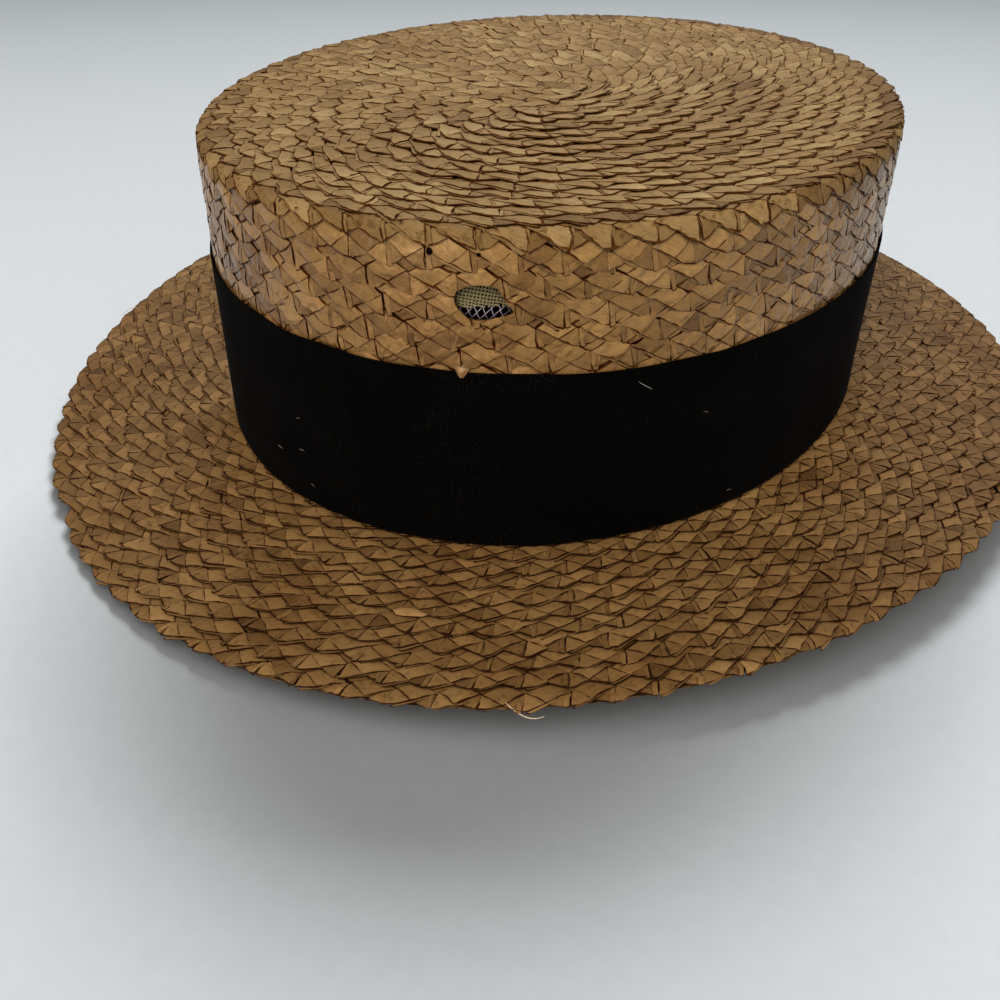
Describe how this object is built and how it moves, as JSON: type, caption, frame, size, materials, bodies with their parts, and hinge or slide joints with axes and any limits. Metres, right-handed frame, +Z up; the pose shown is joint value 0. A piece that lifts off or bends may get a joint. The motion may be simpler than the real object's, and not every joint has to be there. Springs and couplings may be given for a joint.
{
  "type": "straw boater hat",
  "caption": "Straw boater hat with a flat oval crown, a stiff flat brim and a dark ribbon, lying on its brim.",
  "frame": {"origin": "middle of the hat's box, on the surface that the brim rests on", "axes": "+Z up through the crown, -Y to the wearer's front, +X to the wearer's left"},
  "size_m": [0.272, 0.304, 0.0789],
  "materials": {
    "crown_straw": "aged flat straw plait, sewn in rows",
    "brim_straw": "aged flat straw plait, sewn in rows, browner than the crown",
    "ribbon_grosgrain": "matt black ribbed silk ribbon, a little dusty",
    "lining_gauze": "fine olive gauze"
  },
  "bodies": {
    "root": {"crown": "crown_straw", "brim": "brim_straw", "hat_band": "ribbon_grosgrain", "lining_gauze": "lining_gauze"}
  },
  "joints": []
}
